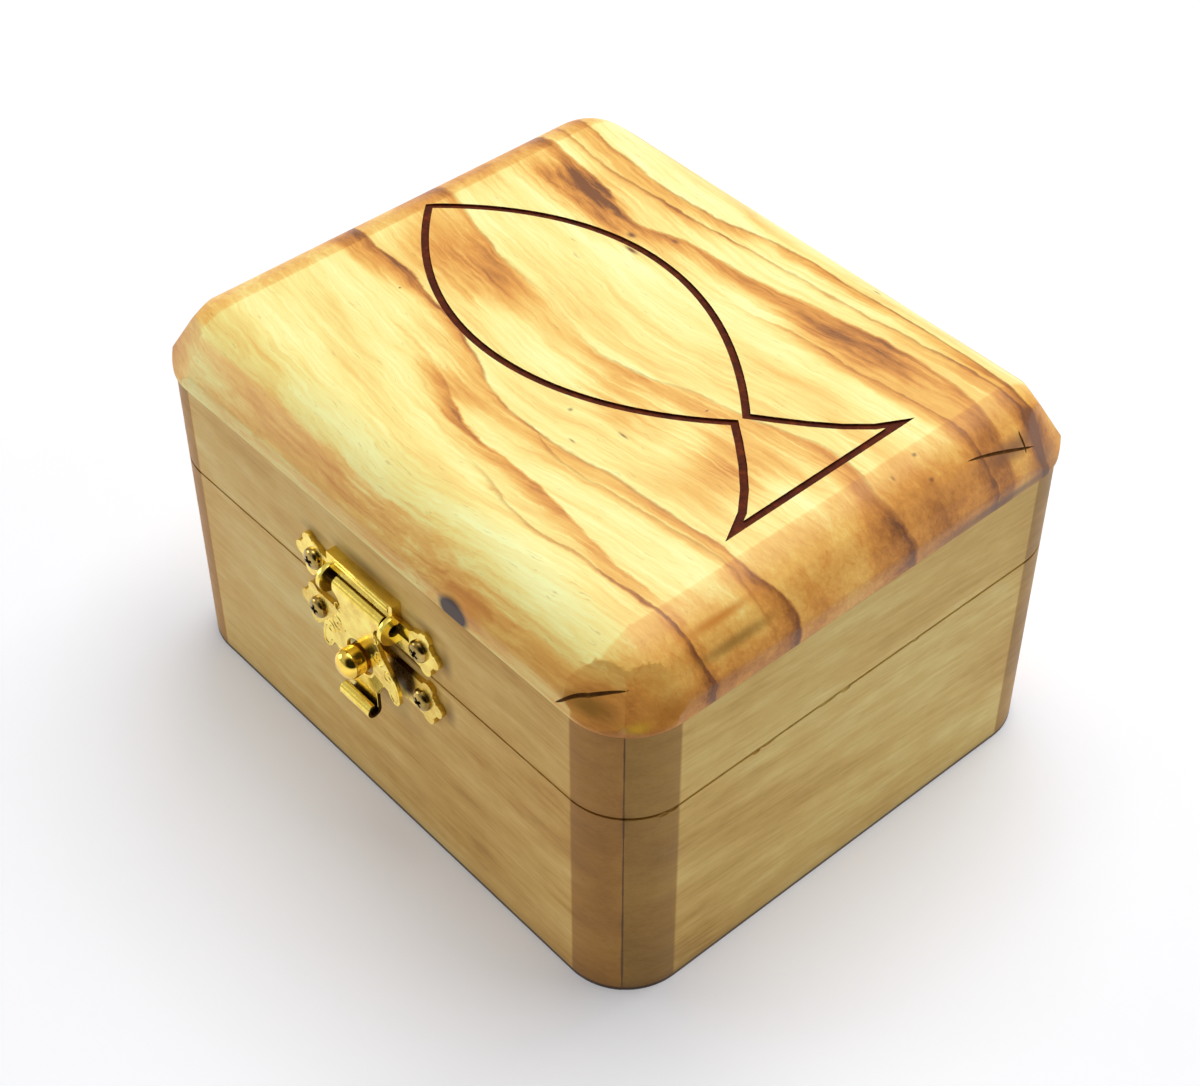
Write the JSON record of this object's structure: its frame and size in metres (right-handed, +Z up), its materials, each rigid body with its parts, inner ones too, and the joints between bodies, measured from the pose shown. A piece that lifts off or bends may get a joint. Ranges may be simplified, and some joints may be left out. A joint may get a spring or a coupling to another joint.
{
  "type": "rosary box",
  "caption": "Small mitred olive wood keepsake box with a thick bevelled hinged lid and a snap hasp whose flap folds up off a domed stud.",
  "frame": {"origin": "middle of the flat underside, on the surface the box rests on", "axes": "+Z up, +X to the right end seen from the front, the hasp faces -Y and the hinges face +Y"},
  "size_m": [0.0754, 0.0705, 0.046],
  "materials": {
    "olive_wood": "sanded and lightly waxed olive wood",
    "olive_top": "sanded and waxed olive wood with strong figure",
    "bottom_wood": "plain sanded wood",
    "brass_plate": "bright brass plated sheet",
    "brass_screw": "bright brass plated screws and pins"
  },
  "bodies": {
    "base": {"base_front_wall": "olive_wood", "base_back_wall": "olive_wood", "base_left_wall": "olive_wood", "base_right_wall": "olive_wood", "bottom_panel": "bottom_wood", "keeper_plate": "brass_plate", "keeper_stud": "brass_screw", "keeper_screws": "brass_screw", "left_hinge_base_leaf": "brass_plate", "right_hinge_base_leaf": "brass_plate", "left_hinge_pin": "brass_screw", "right_hinge_pin": "brass_screw", "base_hinge_screws": "brass_screw"},
    "lid": {"lid_top_panel": "olive_top", "lid_front_strip": "olive_wood", "lid_back_strip": "olive_wood", "lid_left_strip": "olive_wood", "lid_right_strip": "olive_wood", "hasp_plate": "brass_plate", "hasp_pivot_pin": "brass_screw", "hasp_plate_screws": "brass_screw", "left_hinge_lid_leaf": "brass_plate", "right_hinge_lid_leaf": "brass_plate", "lid_hinge_screws": "brass_screw"},
    "flap": {"hasp_flap": "brass_plate"}
  },
  "joints": [
    {"name": "lid_hinge", "type": "hinge", "parent": "base", "child": "lid", "pos_m": [0, 0.0332, 0.027], "axis": [-1, 0, 0], "range_deg": [0, 180]},
    {"name": "flap_hinge", "type": "hinge", "parent": "lid", "child": "flap", "pos_m": [0, -0.0325, 0.0309], "axis": [-1, 0, 0], "range_deg": [0, 120]}
  ]
}
